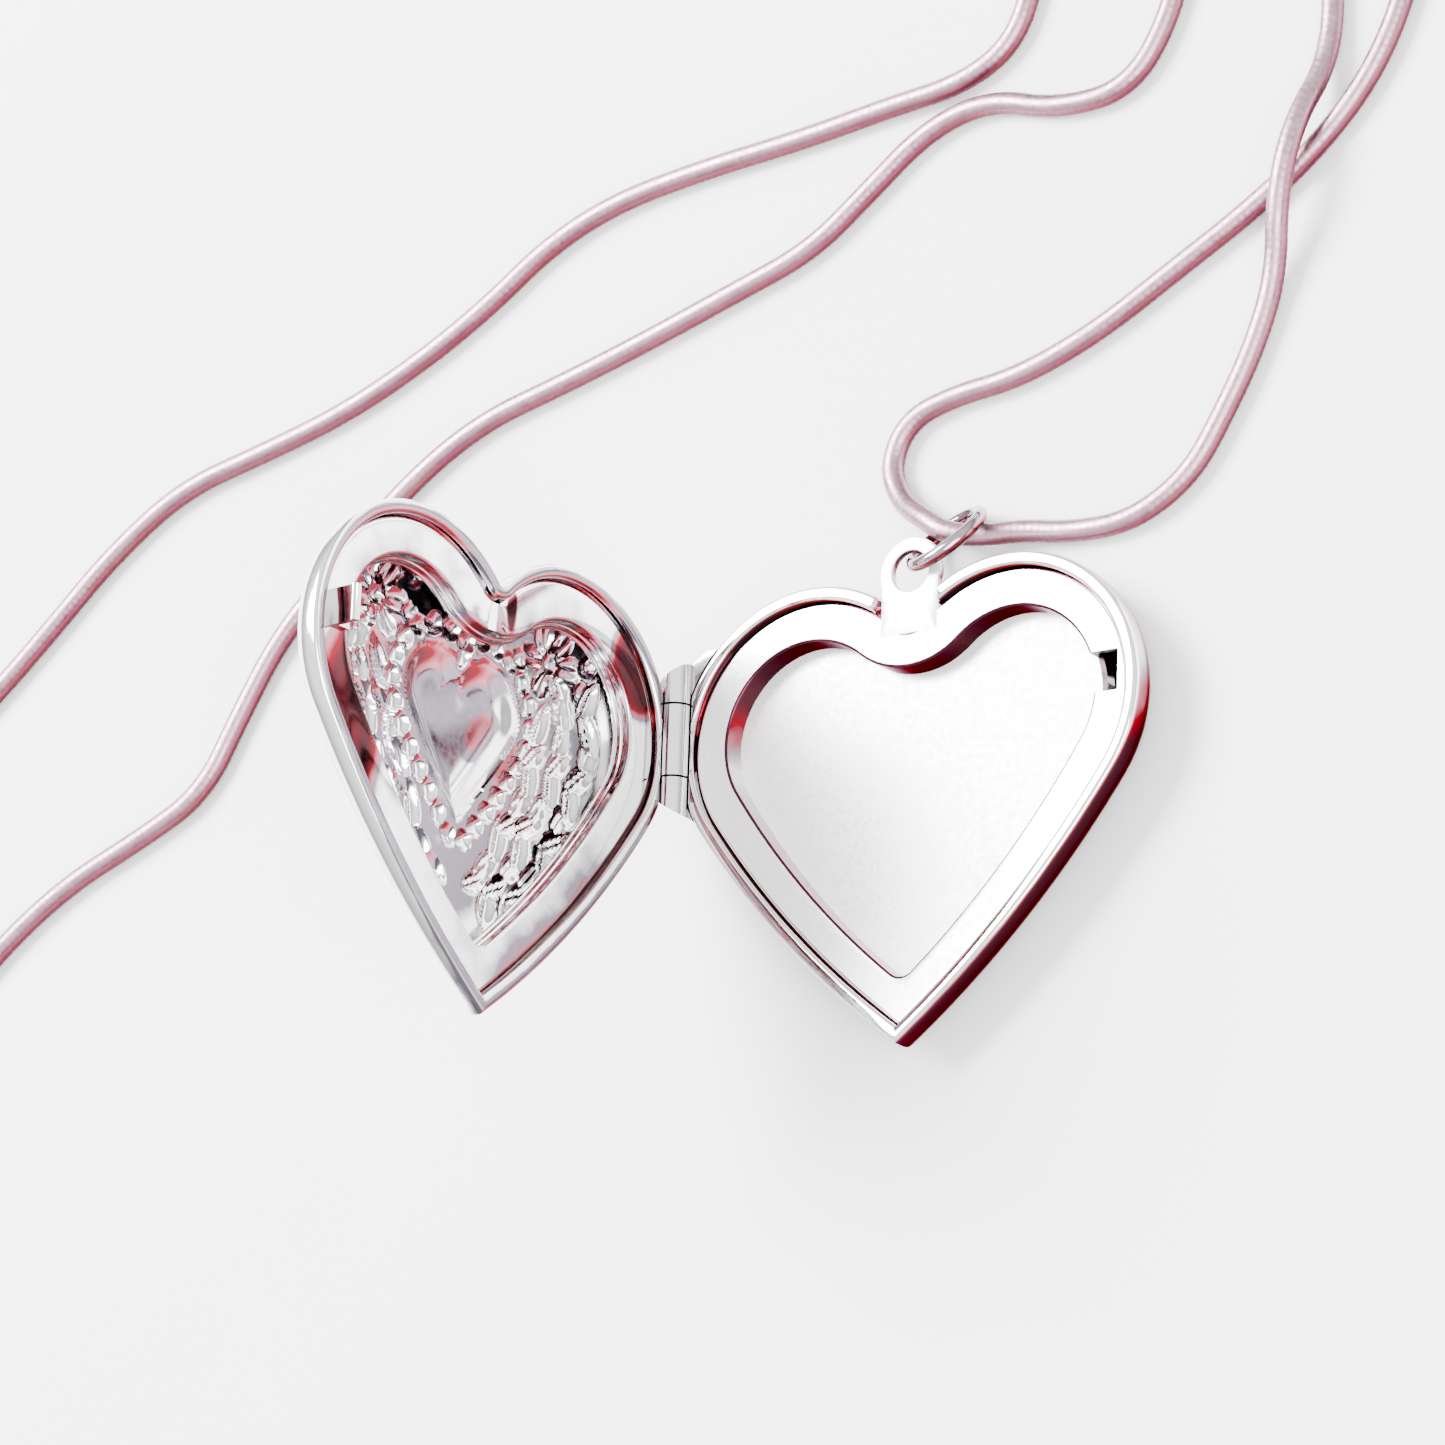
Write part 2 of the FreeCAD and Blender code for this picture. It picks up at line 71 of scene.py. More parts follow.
def add_camera():
    data = bpy.data.cameras.new("camera")
    data.lens = LENS
    data.sensor_width = 36
    data.clip_start = 0.01
    data.clip_end = 20
    camera = bpy.data.objects.new("camera", data)
    bpy.context.scene.collection.objects.link(camera)
    turn = (AIM - EYE).to_track_quat("-Z", "Y").to_matrix() @ Matrix.Rotation(ROLL, 3, "Z")
    camera.matrix_world = Matrix.Translation(EYE) @ turn.to_4x4()
    bpy.context.scene.camera = camera


# ---- node materials ------------------------------------------------------------------------
def new_material(name, colour, roughness, metallic=0.0):
    """A material, its node tree and its shader, with plain values on the shader's sockets."""
    material = bpy.data.materials.new(name)
    material.use_nodes = True
    tree = material.node_tree
    shader = tree.nodes["Principled BSDF"]
    shader.inputs["Base Color"].default_value = (*colour, 1)
    shader.inputs["Roughness"].default_value = roughness
    shader.inputs["Metallic"].default_value = metallic
    return material, tree, shader


def link(tree, source, output, target, socket):
    tree.links.new(source.outputs[output], target.inputs[socket])


def noise(tree, scale, detail=3.0):
    """Noise in object coordinates, scale in features per metre."""
    place = tree.nodes.new("ShaderNodeTexCoord")
    node = tree.nodes.new("ShaderNodeTexNoise")
    node.inputs["Scale"].default_value = scale
    node.inputs["Detail"].default_value = detail
    link(tree, place, "Object", node, "Vector")
    return node


def ramp(tree, source, output, stops):
    """Colour ramp through (position, colour) stops."""
    node = tree.nodes.new("ShaderNodeValToRGB")
    band = node.color_ramp
    while len(band.elements) < len(stops):
        band.elements.new(0.5)
    for element, (position, colour) in zip(band.elements, stops):
        element.position = position
        element.color = (*colour, 1)
    link(tree, source, output, node, "Fac")
    return node


def bump(tree, shader, height, strength, distance):
    node = tree.nodes.new("ShaderNodeBump")
    node.inputs["Strength"].default_value = strength
    node.inputs["Distance"].default_value = distance
    link(tree, height, "Fac", node, "Height")
    link(tree, node, "Normal", shader, "Normal")


def facing(tree, direction, wobble):
    """How far a surface turns toward a direction in its own coordinates, a little uneven;
    the mask for painted reflections and painted shade.
    """
    place = tree.nodes.new("ShaderNodeTexCoord")
    dot = tree.nodes.new("ShaderNodeVectorMath")
    dot.operation = "DOT_PRODUCT"
    dot.inputs[1].default_value = direction
    link(tree, place, "Normal", dot, 0)
    uneven = tree.nodes.new("ShaderNodeMath")
    uneven.operation = "MULTIPLY_ADD"
    uneven.inputs[1].default_value = wobble
    link(tree, noise(tree, TONE_SCALE, 2.0), "Fac", uneven, 0)
    link(tree, dot, "Value", uneven, 2)
    return uneven


PAINTED_ROSE_SIDE = (0.35, -0.90, -0.80)     # surfaces turned this way get painted rose reflections and painted shade

# Noise scales, in features per metre
TONE_SCALE = 500.0
WEAR_SCALE = 2600.0
RIPPLE_SCALE = 260.0


def add_painted_spot(tree, centre, size, weight, onto):
    """Adds a soft-edged painted reflection spot, centre and size in millimetres, to a tone."""
    place = tree.nodes.new("ShaderNodeTexCoord")
    shift = tree.nodes.new("ShaderNodeVectorMath")
    shift.operation = "SUBTRACT"
    shift.inputs[1].default_value = Vector(centre) * MM
    link(tree, place, "Object", shift, 0)
    scale = tree.nodes.new("ShaderNodeVectorMath")
    scale.operation = "DIVIDE"
    scale.inputs[1].default_value = Vector(size) * MM
    link(tree, shift, "Vector", scale, 0)
    length = tree.nodes.new("ShaderNodeVectorMath")
    length.operation = "LENGTH"
    link(tree, scale, "Vector", length, 0)
    near = tree.nodes.new("ShaderNodeMapRange")
    near.inputs["From Min"].default_value = 1.0
    near.inputs["From Max"].default_value = 0.55
    near.inputs["To Max"].default_value = weight
    near.interpolation_type = "SMOOTHSTEP"
    link(tree, length, "Value", near, "Value")
    total = tree.nodes.new("ShaderNodeMath")
    link(tree, near, "Result", total, 0)
    link(tree, onto, "Value", total, 1)
    return total


def polished(name, roughness, stops, wobble=0.25, ripple=0.00004, painted_spots=(), metallic=1.0,
             edge=(1.0, 1.0, 1.0)):
    """Plated metal: painted rose reflections and painted shade by the way a surface faces,
    uneven polish, rippled sheet.

    Stops place the painted tones, the spots add soft painted reflections of (centre, size,
    weight), and edge tints what is reflected at a glancing angle.
    """
    material, tree, shader = new_material(name, stops[0][1], roughness, metallic)
    shader.inputs["Specular Tint"].default_value = (*edge, 1)
    # Painted reflections and shade: facing and spots pick a tone from the stops
    value = facing(tree, PAINTED_ROSE_SIDE, wobble)
    for spot in painted_spots:
        value = add_painted_spot(tree, *spot, value)
    tone = ramp(tree, value, "Value", stops)
    link(tree, tone, "Color", shader, "Base Color")
    wear = noise(tree, WEAR_SCALE, 6.0)
    spread = [(0.3, (roughness * 0.7,) * 3), (0.75, (roughness * 1.4,) * 3)]
    link(tree, ramp(tree, wear, "Fac", spread), "Color", shader, "Roughness")
    if ripple:
        bump(tree, shader, noise(tree, RIPPLE_SCALE, 1.0), 0.10, ripple)
    return material


# Silver's white, then painted reflections of grey, lilac and rose, then painted shade
WHITE_METAL = (0.97, 0.96, 0.97)
GREY_REFLECTION = (0.38, 0.33, 0.38)
LILAC_REFLECTION = (0.21, 0.185, 0.22)
ROSE_REFLECTION = (0.38, 0.12, 0.15)
DEEP_ROSE_REFLECTION = (0.16, 0.006, 0.013)
SHADE = (0.035, 0.012, 0.015)
WINE_SHADE = (0.10, 0.018, 0.028)
REFLECTION_STOPS = [
    (0.30, WHITE_METAL), (0.46, GREY_REFLECTION), (0.57, ROSE_REFLECTION), (0.68, DEEP_ROSE_REFLECTION), (0.85, SHADE)]
# Painted reflections by facing; the edge tint paints glancing reflections rose-brown
SILVER = polished("polished_silver", 0.06, REFLECTION_STOPS, edge=(0.50, 0.34, 0.37))
# Painted reflections by facing, with spots of painted reflection
RIM_SILVER = polished("rim_silver", 0.07, [
    (0.42, WHITE_METAL), (0.54, LILAC_REFLECTION), (0.66, ROSE_REFLECTION), (0.80, DEEP_ROSE_REFLECTION), (1.0, SHADE)],
    painted_spots=[
        ((-15.2, -4.8, 28.4), (4.0, 7.4, 3.2), 0.56),       # painted rose reflection beside the catch
        ((-14.6, 3.9, 6.2), (3.0, 3.2, 2.6), 0.56),         # painted rose reflection on the lobe next to the hinge
        ((-15.3, 4.7, 16.4), (2.0, 1.9, 0.5), 0.60),        # painted rose reflection on the ridge at the cleft
        ((-15.5, -10.5, 13.0), (3.0, 8.0, 8.0), 0.15)])     # painted lilac reflection toward the point
# Painted reflections and painted shade by facing, with spots of painted reflection
STAMPED = polished("stamped_silver", 0.12, [
    (0.28, WHITE_METAL), (0.38, LILAC_REFLECTION), (0.52, LILAC_REFLECTION), (0.66, ROSE_REFLECTION),
    (0.82, DEEP_ROSE_REFLECTION), (1.0, WINE_SHADE)],
    painted_spots=[
        ((-18.2, -2.3, 14.6), (3.0, 2.5, 2.3), 0.34),       # painted reflection spot in the pressed heart
        ((-17.0, 1.0, 26.0), (4.0, 8.0, 5.0), 0.22)])       # painted rose reflection on the lobe on the catch's side
# Painted reflections and shade by facing, as on the silver
FLAT_SILVER = polished("flat_silver", 0.24, REFLECTION_STOPS, ripple=0.0, metallic=0.3)
# Painted shade: a dark ring on the window's rounded edge
WINDOW_EDGE_SHADE = polished("window_edge_shade", 0.20, [
    (0.0, (0.06, 0.015, 0.03)), (1.0, SHADE)], ripple=0.0)
# Painted reflections and shade by facing, as on the silver
FLOOR_SILVER = polished("satin_floor", 0.30, REFLECTION_STOPS, 0.1, ripple=0.0, metallic=0.25)
# Painted shade: near-black for the walls cut for the catch's slot
SLOT_SHADE = polished("pocket_shade", 0.30, [
    (0.0, (0.03, 0.02, 0.022)), (1.0, SHADE)], ripple=0.0)
# Painted reflections and shade on the jump ring by the way it faces
RING_SILVER = polished("ring_silver", 0.12, [
    (0.0, GREY_REFLECTION), (0.30, ROSE_REFLECTION), (0.60, DEEP_ROSE_REFLECTION), (0.9, SHADE)])
# Painted reflections on the chain: pinkish grey to dark red by the way it faces
CHAIN_METAL = polished("chain_silver", 0.40, [
    (0.00, (0.42, 0.27, 0.32)), (0.25, (0.35, 0.18, 0.23)), (0.60, (0.20, 0.06, 0.09)),
    (0.95, (0.11, 0.015, 0.028))], ripple=0.0)
# Painted reflections on the fastener by the way it faces
FASTENER = polished("fastener_silver", 0.09, [
    (0.30, WHITE_METAL), (0.60, GREY_REFLECTION), (0.85, ROSE_REFLECTION), (1.0, DEEP_ROSE_REFLECTION)])
# Painted shade: the spring darker where it faces the rose side
SPRING = polished("spring_steel", 0.28, [
    (0.0, (0.62, 0.62, 0.64)), (1.0, (0.40, 0.38, 0.40))], ripple=0.000005)


# ---- chain ---------------------------------------------------------------------------------
CHAIN_DIAMETER = 1.2
ROUTE = [
    (-86.87, -1.70, 1.5), (-86.74, 2.10, 1.5), (-85.7, 5.2, 1.1), (-82.6, 7.3, 0.62),
    (-78.2, 7.3, 0.62), (-73.6, 7.1, 0.62), (-69.0, 8.7, 0.62), (-64.8, 11.8, 0.62),
    (-60.6, 15.4, 0.62), (-56.6, 19.0, 0.62), (-51.6, 22.2, 0.62), (-45.8, 23.4, 0.62),
    (-40.0, 24.8, 0.62), (-34.6, 27.0, 0.62), (-30.0, 29.5, 0.62), (-26.2, 32.2, 0.62),
    (-21.6, 34.0, 0.62), (-15.4, 34.8, 0.62), (-9.2, 35.2, 0.62), (-3.6, 35.9, 0.62),
    (1.2, 36.3, 0.62), (4.3, 38.0, 0.62), (5.5, 41.6, 0.62), (6.8, 46.4, 0.62),
    (9.6, 50.9, 0.62), (14.4, 53.8, 0.62), (20.2, 54.2, 0.62), (25.4, 51.6, 0.62),
    (28.7, 47.2, 0.62), (29.5, 42.0, 0.62), (28.3, 37.0, 0.62), (26.3, 32.0, 0.62),
    (23.0, 28.3, 0.62), (18.9, 25.4, 0.62), (14.3, 22.9, 0.62), (9.8, 20.4, 0.62),
    (5.0, 18.7, 0.62), (1.0, 18.4, 0.62), (-1.9, 17.5, 0.62), (-3.0, 15.0, 0.62),
    (-1.9, 12.7, 0.90), (-0.1, 11.4, 1.70), (1.5, 10.2, 1.85), (3.5, 9.95, 1.25),
    (5.6, 10.05, 0.75), (8.4, 9.5, 0.62), (12.0, 9.5, 0.62), (15.4, 11.4, 0.62),
    (17.4, 14.6, 0.62), (19.1, 17.8, 0.62), (20.4, 21.4, 0.75), (21.3, 25.2, 2.30),
    (22.2, 28.9, 2.30), (23.4, 32.6, 0.75), (23.7, 36.8, 0.62), (23.2, 41.2, 0.62),
    (20.8, 44.6, 0.62), (17.3, 44.9, 0.62), (14.8, 42.0, 0.62), (14.0, 37.6, 0.62),
    (11.6, 33.8, 0.62), (7.2, 33.5, 0.62), (2.8, 35.0, 0.62), (-1.2, 34.0, 0.62),
    (-4.8, 31.2, 0.62), (-8.4, 28.5, 0.62), (-13.4, 27.0, 0.62), (-19.0, 25.3, 0.62),
    (-24.6, 23.8, 0.62), (-30.2, 22.5, 0.62), (-35.0, 19.8, 0.62), (-39.4, 15.9, 0.62),
    (-43.6, 12.2, 0.62), (-46.3, 7.8, 0.62), (-48.7, 3.4, 0.62), (-53.2, 1.3, 0.62),
    (-58.3, -0.7, 0.62), (-63.0, -3.8, 0.62), (-67.0, -7.6, 0.62), (-70.8, -11.8, 0.62),
    (-74.0, -16.6, 0.62), (-76.8, -21.4, 0.62), (-80.2, -25.0, 0.62), (-84.2, -26.2, 0.62),
    (-87.0, -24.3, 1.0), (-87.56, -21.59, 1.5), (-87.41, -17.29, 1.5),
]
FASTENER_NODES = [
    "end_cap_a", "link_ring", "clasp_body", "clasp_lever", "clasp_pivot", "clasp_spring",
    "catch_ring", "end_cap_b",
]


def smooth_line(points):
    """Points in metres along the NURBS curve that has the route as its control points."""
    data = bpy.data.curves.new("route", "CURVE")
    data.dimensions = "3D"
    data.resolution_u = 16
    spline = data.splines.new("NURBS")
    spline.points.add(len(points) - 1)
    for place, point in zip(spline.points, points):
        place.co = (*(value * MM for value in point), 1.0)
    spline.order_u = 3
    spline.use_endpoint_u = True
    curve = bpy.data.objects.new("route", data)
    mesh = bpy.data.meshes.new_from_object(curve)
    line = np.array([vertex.co[:] for vertex in mesh.vertices])
    bpy.data.objects.remove(curve)
    bpy.data.curves.remove(data)
    bpy.data.meshes.remove(mesh)
    return line


def even_steps(line, step):
    """The same line as evenly spaced points."""
    lengths = np.concatenate([[0], np.cumsum(np.linalg.norm(np.diff(line, axis=0), axis=1))])
    count = int(lengths[-1] / step) + 1
    at = np.linspace(0, lengths[-1], count)
    return np.stack([np.interp(at, lengths, line[:, axis]) for axis in range(3)], axis=1), at


def mesh_object(name, vertices, faces, material, smooth=True):
    mesh = bpy.data.meshes.new(name)
    mesh.from_pydata([tuple(v) for v in vertices], [], [tuple(int(i) for i in f) for f in faces])
    mesh.update()
    if smooth:
        mesh.shade_smooth()
    mesh.materials.append(material)
    piece = bpy.data.objects.new(name, mesh)
    bpy.context.scene.collection.objects.link(piece)
    return piece


def ring_faces(rings, around):
    """Quads between successive rings of a lofted mesh."""
    faces = []
    for row in range(rings - 1):
        for i in range(around):
            j = (i + 1) % around
            a, b = row * around, (row + 1) * around
            faces.append((a + i, a + j, b + j, b + i))
    return faces


LINK_PITCH = 0.42      # plate to plate along the chain
LINK_DEPTH = 0.012     # groove between two plates
LINK_WAVE = 0.5        # how far each plate's edge waves, in pitches


def add_chain():
    """Snake chain: a round run of thin waved plates, each edge a shallow groove."""
    around = 20
    line, at = even_steps(smooth_line(ROUTE), LINK_PITCH * MM / 5)
    ahead = np.gradient(line, axis=0)
    ahead /= np.linalg.norm(ahead, axis=1)[:, None]
    side = np.cross(ahead, [0, 0, 1.0])
    side /= np.linalg.norm(side, axis=1)[:, None]
    up = np.cross(side, ahead)
    angle = np.linspace(0, 2 * math.pi, around, endpoint=False)
    phase = at[:, None] / (LINK_PITCH * MM) + LINK_WAVE * np.abs(np.sin(angle * 2))[None]
    groove = np.abs(np.cos(math.pi * phase)) ** 6
    radius = (CHAIN_DIAMETER / 2 - LINK_DEPTH * groove) * MM
    rim = side[:, None] * np.cos(angle)[None, :, None] + up[:, None] * np.sin(angle)[None, :, None]
    vertices = (line[:, None] + rim * radius[..., None]).reshape(-1, 3)
    last = (len(line) - 1) * around
    ends = [tuple(range(around))[::-1], tuple(range(last, last + around))]
    faces = ring_faces(len(line), around) + ends
    chain = mesh_object("snake_chain", vertices, faces, CHAIN_METAL)
    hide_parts("chain")
    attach(chain, "back")


# ---- heart outlines --------------------------------------------------------------------------
LOBE_STEPS = 150
SIDE_STEPS = 100
CLEFT_STEPS = 24
POINT_STEPS = 12
FAR_OUTSIDE = -99


def arc(centre, radius, start, end, steps):
    """Points along an arc, its last point left to the next arc."""
    angle = np.linspace(start, end, steps, endpoint=False)
    return np.column_stack([centre[0] + radius * np.cos(angle), centre[1] + radius * np.sin(angle)])


def side_arc(outline):
    """Radius and centre of the arc that runs from a lobe to the point, and its outward start."""
    lobe, across, point_y, lobe_end, cleft, shift, point_r = outline
    out = (math.cos(lobe_end), -math.sin(lobe_end))
    run = (-across - lobe * out[0], point_y - lobe * out[1])
    side = -(run[0] ** 2 + run[1] ** 2) / (2 * (run[0] * out[0] + run[1] * out[1]))
    centre = (across + (lobe - side) * out[0], (lobe - side) * out[1])
    return side, centre, out


def heart(outline, inset):
    """Heart drawn in by inset: half the cleft, right lobe and side, then the mirror of these."""
    lobe, across, point_y, lobe_end, cleft, shift, point_r = outline
    point_r = max(point_r - inset, 0.0)
    cleft_y = math.sqrt((lobe + cleft) ** 2 - across ** 2)
    side, centre, out = side_arc(outline)
    tip_y = centre[1] - math.sqrt((side - inset - point_r) ** 2 - centre[0] ** 2)
    meet = math.atan2(cleft_y, -across)
    tip = math.atan2(tip_y - centre[1], -centre[0])
    right = np.concatenate([
        arc((0, cleft_y), cleft + inset, -math.pi / 2, -(math.pi - meet), CLEFT_STEPS)
        if cleft + inset > 0 else np.repeat([[0, cleft_y]], CLEFT_STEPS, axis=0),
        arc((across, 0), lobe - inset, meet, -lobe_end, LOBE_STEPS),
        arc(centre, side - inset, -lobe_end, tip, SIDE_STEPS),
        arc((0, tip_y), point_r, tip, -math.pi / 2, POINT_STEPS),
    ])
    right[:CLEFT_STEPS, 0] = np.abs(right[:CLEFT_STEPS, 0])
    left = right[:0:-1] * (-1, 1)
    points = np.concatenate([right, [[0, tip_y - point_r]], left])
    return points + (0, shift)


def inside_heart(outline, x, y):
    """Signed distance inside a heart outline, by its own arcs; negative outside."""
    lobe, across, point_y, lobe_end, cleft, shift, point_r = outline
    side, centre, out = side_arc(outline)
    x = np.abs(x)
    y = y - shift
    from_lobe = lobe - np.hypot(x - across, y)
    from_side = side - np.hypot(x - centre[0], y - centre[1])
    above = y - out[1] / out[0] * (x - across)
    between = np.where(x < across, -y, FAR_OUTSIDE)
    return np.where(above > 0, np.maximum(from_lobe, between), from_side)


SHARP_ANGLE = math.radians(38)


def face_outward(piece):
    """Join doubled points and turn all faces outward."""
    edges = bmesh.new()
    edges.from_mesh(piece.data)
    bmesh.ops.remove_doubles(edges, verts=edges.verts, dist=1e-6)
    bmesh.ops.recalc_face_normals(edges, faces=edges.faces)
    edges.to_mesh(piece.data)
    edges.free()


def smooth(piece):
    """Smooth shading that keeps the sharp edges."""
    piece.data.shade_smooth()
    piece.data.set_sharp_from_angle(angle=SHARP_ANGLE)


def sheet(name, rings, material, close=False, bands=()):
    """Lofted surface through rings; bands give other materials to runs of rings."""
    around = len(rings[0])
    faces = ring_faces(len(rings), around)
    if close:
        last = (len(rings) - 1) * around
        faces += [(last + i, last + (i + 1) % around, (i + 1) % around, i) for i in range(around)]
    piece = mesh_object(name, np.concatenate(rings) * MM, faces, material)
    for slot, (first, last, other) in enumerate(bands, start=1):
        piece.data.materials.append(other)
        for face in piece.data.polygons[first * around:last * around]:
            face.material_index = slot
    face_outward(piece)
    smooth(piece)
    return piece


def ring(outline, inset, depth):
    """Ring of points at one inset and one depth."""
    points = heart(outline, inset)
    return np.column_stack([points, np.full(len(points), float(depth))])


KNUCKLE_ROOM = 1.03      # radius kept clear round the hinge's axis
KNUCKLES_Y = (-4.35, 5.55)


def off_hinge(points, depth_of_axis):
    """Push points out of the space where the knuckles turn."""
    dx = points[:, 0] - HINGE_X
    dz = points[:, 2] - depth_of_axis
    distance = np.hypot(dx, dz)
    low, high = KNUCKLES_Y
    near = (distance < KNUCKLE_ROOM) & (points[:, 1] > low) & (points[:, 1] < high)
    grow = np.where(near, KNUCKLE_ROOM / np.maximum(distance, 1e-6), 1.0)
    return np.column_stack([HINGE_X + dx * grow, points[:, 1], depth_of_axis + dz * grow])


# ---- stamped pans ----------------------------------------------------------------------------
# Depth runs from 0 at the lip to the pan's flat; each profile is (inset, depth) across the wall
LIP_PROFILE = [(0.00, 0.36), (0.00, 0.20), (0.03, 0.10), (0.09, 0.03), (0.18, 0.00),
               (0.57, 0.00), (0.66, 0.03), (0.72, 0.10), (0.75, 0.20), (0.74, 0.30),
               (0.68, 0.35), (0.46, 0.36)]
PAN_CENTRE = np.array([0.0, -3.2])


def rounded_edge(depth, wall, steps):
    """Insets and depths of the rounded edge, from the straight wall to the flat."""
    profile = []
    for angle in np.linspace(math.pi / 2, 0, steps):
        inset = wall + (EDGE_INSET - wall * 0.4) * (1 - math.sin(angle))
        profile.append((inset, depth - wall - (EDGE_RISE - wall) * (1 - math.cos(angle))))
    return profile


def flat_rings(inset, depth, count, relief):
    """Rings from the edge of the pan's flat to its middle, carried by the relief."""
    edge = heart(LIP_HEART, inset)
    rings = []
    for share in np.linspace(1, 0, count + 1)[1:]:
        points = PAN_CENTRE + (edge - PAN_CENTRE) * share
        rings.append(np.column_stack([points, depth + relief(points[:, 0], points[:, 1])]))
    return rings


def pan_face(depth, wall, steps, count, relief):
    """Rings of one face of a pan, from the straight wall to the middle of the flat."""
    rings = []
    for inset, low in rounded_edge(depth, wall, steps):
        points = ring(LIP_HEART, inset, low)
        points[:, 2] += relief(points[:, 0], points[:, 1])
        rings.append(points)
    return rings + flat_rings(inset, low, count, relief)


def pan_rings(depth, steps, count, relief):
    """Rings from the middle of the inner face, over the lip, to the middle of the outer face."""
    lip = [ring(LIP_HEART, *place) for place in reversed(LIP_PROFILE)]
    inner = pan_face(depth, SHEET, steps, count, relief)
    return inner[::-1] + lip + pan_face(depth, 0.0, steps, count, relief)


def plain(x, y):
    return np.zeros_like(x)


# ---- embossing -------------------------------------------------------------------------------
# Raised on the cover's face and hollow behind it: a smooth heart in a beaded border, a flower
# on each lobe and laurel leaves down each side
CENTRE_HEART = (2.62, 1.86, -6.55, 0.60, 0.30, -0.45, 0.0)
HEART_RISE = 0.45
HEART_SHOULDER = 0.85    # width over which the centre heart rises
HEART_BOWL = 0.22        # how much more its middle stands out
BORDER_GAP = 0.95
BEAD_STEP = 1.22
LEAF_STEP = 1.32
LEAF_LEANS = (0.50, -0.36, 0.12)
FLOWER = (6.9, 3.4)
BUDS = [(9.6, 3.9), (4.3, 5.0), (9.3, 2.4), (4.4, 3.0)]
PLAIN_EDGE = 1.9         # width of the plain band inside the lip
LEAF_LINES = [
    [(9.9, 1.9), (10.1, -0.6), (9.3, -3.1), (7.8, -5.7), (6.0, -8.3), (4.1, -10.8)],
    [(8.0, 0.9), (7.9, -1.3), (7.1, -3.6), (5.7, -6.1), (4.2, -8.5), (2.6, -10.7)],
    [(6.3, -0.4), (5.7, -2.9), (4.5, -5.3), (3.2, -7.6), (1.7, -9.8)],
]


def bump_at(x, y, place, size, height):
    distance = np.hypot(x - place[0], y - place[1]) / size
    return height * np.clip(1 - distance ** 2, 0, None) ** 0.75


def leaf_at(x, y, place, angle, length, width, height, vein):
    """Pointed leaf, with a vein of the given depth down its middle."""
    u = (x - place[0]) * math.cos(angle) + (y - place[1]) * math.sin(angle)
    w = -(x - place[0]) * math.sin(angle) + (y - place[1]) * math.cos(angle)
    half = width / 2 * np.clip(1 - (2 * u / length) ** 2, 0.0, None)
    across = np.clip(1 - (w / np.maximum(half, 1e-6)) ** 2, 0.0, None)
    body = np.where(half > 0.01, across, 0.0) * np.clip(half / width * 2.6, 0.0, 1.0)
    return height * body * (1 - vein * np.exp(-(w / 0.10) ** 2))


def flower_at(x, y, place, size, height):
    """Six petals round a bead."""
    radius = np.hypot(x - place[0], y - place[1])
    angle = np.arctan2(y - place[1], x - place[0])
    petal = np.abs(np.cos(3 * angle)) ** 0.6
    reach = size * (0.45 + 0.55 * petal)
    body = np.clip(1 - (radius / reach) ** 2, 0, None) ** 0.6
    fold = 1 - 0.55 * np.exp(-((petal - 1) / 0.05) ** 2)
    heart_bead = bump_at(x, y, place, size * 0.28, height * 1.2)
    return np.maximum(height * body * fold * np.clip(radius / size * 2.2, 0.25, 1), heart_bead)


def along(line, step):
    """Points and headings spaced along a line of points."""
    points, _ = even_steps(np.array([(x, y, 0.0) for x, y in line]), step)
    ahead = np.gradient(points, axis=0)
    return points[:, :2], np.arctan2(ahead[:, 1], ahead[:, 0])


def relief(x, y):
    """Height of the embossing over the cover's flat, outward."""
    inside = inside_heart(CENTRE_HEART, x, y)
    bowl = np.clip(1 - (x ** 2 + (y + 1.6) ** 2) / 34, 0, 1)
    dome = HEART_RISE * (1 - np.exp(-(inside / HEART_SHOULDER) ** 2)) + HEART_BOWL * bowl
    height = np.where(inside > 0, dome, 0.0)
    border = heart(CENTRE_HEART, -BORDER_GAP)
    border = np.column_stack([np.vstack([border, border[:1]]), np.zeros(len(border) + 1)])
    beads, _ = even_steps(border, BEAD_STEP)
    for bead, next_bead in zip(beads, beads[1:]):
        angle = math.atan2(next_bead[1] - bead[1], next_bead[0] - bead[0])
        height = np.maximum(height, leaf_at(x, y, bead, angle + 0.35, 1.45, 1.15, 0.34, 0.0))
    for side in (-1, 1):
        for row, line in enumerate(LEAF_LINES):
            stems, headings = along([(side * across, up) for across, up in line], LEAF_STEP)
            for step, (stem, heading) in enumerate(zip(stems, headings)):
                lean = LEAF_LEANS[(step + row) % 3]
                angle = heading + math.pi - side * lean
                stem = stem + 0.16 * np.array([math.sin(5.1 * step + row), math.cos(3.7 * step)])
                length = 2.9 + 0.5 * math.sin(2.3 * step + row)
                height = np.maximum(height, leaf_at(x, y, stem, angle, length, 1.30, 0.36, 0.5))
        height = np.maximum(height, flower_at(x, y, (side * FLOWER[0], FLOWER[1]), 2.35, 0.40))
        for across, up in BUDS:
            height = np.maximum(height, bump_at(x, y, (side * across, up), 0.60, 0.30))
    fade = np.clip(inside_heart(LIP_HEART, x, y) - PLAIN_EDGE, 0, 0.4) / 0.4
    return height * fade


